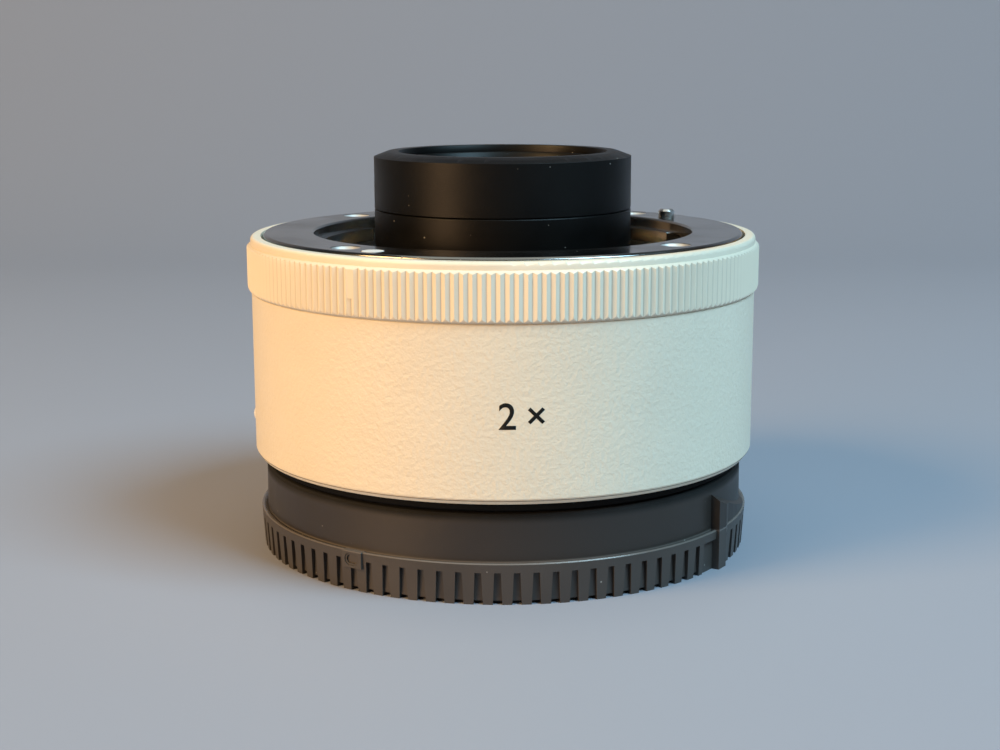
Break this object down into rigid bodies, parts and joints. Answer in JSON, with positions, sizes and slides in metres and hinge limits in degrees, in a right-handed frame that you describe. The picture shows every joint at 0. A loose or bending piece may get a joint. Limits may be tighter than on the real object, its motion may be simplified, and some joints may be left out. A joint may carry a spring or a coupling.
{
  "type": "camera teleconverter",
  "caption": "Camera teleconverter with a ribbed grip ring, a front lens bayonet, a protruding lens tube and a twist-off rear cap.",
  "frame": {"origin": "on the optical axis at the foot of the rear cap, where the object stands", "axes": "+Z along the optical axis towards the lens side, -Y towards the viewer of the picture, +X to the viewer's right"},
  "size_m": [0.0626, 0.0624, 0.0477],
  "materials": {
    "white_paint": "fine pebbled off-white paint",
    "mount_metal": "satin turned metal",
    "screw_steel": "bright steel",
    "pin_steel": "polished steel",
    "spring_steel": "spring steel",
    "white_mark": "smooth white",
    "contact_plastic": "matt black moulding",
    "contact_gold": "gold plated",
    "black_metal": "matt black anodised",
    "glass": "coated optical glass",
    "black_plastic": "matt black moulding",
    "chassis_alloy": "machined alloy",
    "board_green": "solder resist",
    "chip_black": "moulded package",
    "flex_amber": "polyimide film",
    "seal_rubber": "smooth black rubber",
    "cap_plastic": "fine grained dark grey moulding"
  },
  "bodies": {
    "converter": {"outer_barrel": "white_paint", "grip_ring": "white_paint", "front_mount_plate": "mount_metal", "rear_mount": "mount_metal", "front_mount_screws": "screw_steel", "rear_mount_screws": "screw_steel", "tube_screws": "screw_steel", "rear_cell_screws": "screw_steel", "board_screws": "screw_steel", "front_block_screws": "screw_steel", "rear_block_screws": "screw_steel", "lever_screws": "screw_steel", "front_mount_spring": "spring_steel", "contact_springs": "spring_steel", "lock_pin_spring": "spring_steel", "mount_shim": "spring_steel", "front_index_dot": "white_mark", "rear_index_bead": "white_mark", "front_contact_block": "contact_plastic", "rear_contact_block": "contact_plastic", "rear_contact_pads": "contact_gold", "front_lens_tube": "black_metal", "front_lens_cell": "black_metal", "front_retaining_ring": "black_metal", "tube_retaining_ring": "black_metal", "lens_spacer": "black_metal", "rear_lens_cell": "black_metal", "rear_lens_spacer": "black_metal", "rear_retaining_ring": "black_metal", "lens_1": "glass", "lens_2": "glass", "lens_3": "glass", "lens_4": "glass", "lens_5": "glass", "lens_6": "glass", "lens_7": "glass", "lens_8": "glass", "front_liner": "black_plastic", "rear_baffle": "black_plastic", "chassis": "chassis_alloy", "circuit_board": "board_green", "board_chips": "chip_black", "front_flex": "flex_amber", "rear_flex": "flex_amber", "seal_ring": "seal_rubber"},
    "rear_cap": {"rear_cap": "cap_plastic"},
    "release_lever": {"release_lever": "black_plastic"},
    "lock_pin": {"lock_pin": "pin_steel"},
    "contact_pin_1": {"contact_pin_1": "contact_gold"},
    "contact_pin_2": {"contact_pin_2": "contact_gold"},
    "contact_pin_3": {"contact_pin_3": "contact_gold"},
    "contact_pin_4": {"contact_pin_4": "contact_gold"},
    "contact_pin_5": {"contact_pin_5": "contact_gold"},
    "contact_pin_6": {"contact_pin_6": "contact_gold"},
    "contact_pin_7": {"contact_pin_7": "contact_gold"},
    "contact_pin_8": {"contact_pin_8": "contact_gold"},
    "contact_pin_9": {"contact_pin_9": "contact_gold"},
    "contact_pin_10": {"contact_pin_10": "contact_gold"}
  },
  "joints": [
    {"name": "cap_twist", "type": "hinge", "parent": "converter", "child": "rear_cap", "pos_m": [0, 0, 0.005], "axis": [0, 0, 1], "range_deg": [-58, 0]},
    {"name": "lever_swing", "type": "hinge", "parent": "converter", "child": "release_lever", "pos_m": [0, 0, 0.0268], "axis": [0, 0, 1], "range_deg": [0, 6]},
    {"name": "lock_pin_slide", "type": "slide", "parent": "converter", "child": "lock_pin", "axis": [0, 0, -1], "range_m": [0, 0.0018], "stiffness_N_per_m": 400, "deforming": ["lock_pin_spring"]},
    {"name": "contact_pin_1_press", "type": "slide", "parent": "converter", "child": "contact_pin_1", "axis": [0, 0, -1], "range_m": [0, 0.0006], "stiffness_N_per_m": 200, "deforming": ["contact_springs"]},
    {"name": "contact_pin_2_press", "type": "slide", "parent": "converter", "child": "contact_pin_2", "axis": [0, 0, -1], "range_m": [0, 0.0006], "stiffness_N_per_m": 200, "deforming": ["contact_springs"]},
    {"name": "contact_pin_3_press", "type": "slide", "parent": "converter", "child": "contact_pin_3", "axis": [0, 0, -1], "range_m": [0, 0.0006], "stiffness_N_per_m": 200, "deforming": ["contact_springs"]},
    {"name": "contact_pin_4_press", "type": "slide", "parent": "converter", "child": "contact_pin_4", "axis": [0, 0, -1], "range_m": [0, 0.0006], "stiffness_N_per_m": 200, "deforming": ["contact_springs"]},
    {"name": "contact_pin_5_press", "type": "slide", "parent": "converter", "child": "contact_pin_5", "axis": [0, 0, -1], "range_m": [0, 0.0006], "stiffness_N_per_m": 200, "deforming": ["contact_springs"]},
    {"name": "contact_pin_6_press", "type": "slide", "parent": "converter", "child": "contact_pin_6", "axis": [0, 0, -1], "range_m": [0, 0.0006], "stiffness_N_per_m": 200, "deforming": ["contact_springs"]},
    {"name": "contact_pin_7_press", "type": "slide", "parent": "converter", "child": "contact_pin_7", "axis": [0, 0, -1], "range_m": [0, 0.0006], "stiffness_N_per_m": 200, "deforming": ["contact_springs"]},
    {"name": "contact_pin_8_press", "type": "slide", "parent": "converter", "child": "contact_pin_8", "axis": [0, 0, -1], "range_m": [0, 0.0006], "stiffness_N_per_m": 200, "deforming": ["contact_springs"]},
    {"name": "contact_pin_9_press", "type": "slide", "parent": "converter", "child": "contact_pin_9", "axis": [0, 0, -1], "range_m": [0, 0.0006], "stiffness_N_per_m": 200, "deforming": ["contact_springs"]},
    {"name": "contact_pin_10_press", "type": "slide", "parent": "converter", "child": "contact_pin_10", "axis": [0, 0, -1], "range_m": [0, 0.0006], "stiffness_N_per_m": 200, "deforming": ["contact_springs"]}
  ],
  "couplings": [
    {"joint": "lever_swing", "follows": "lock_pin_slide", "rad_per_m": 58.177}
  ]
}
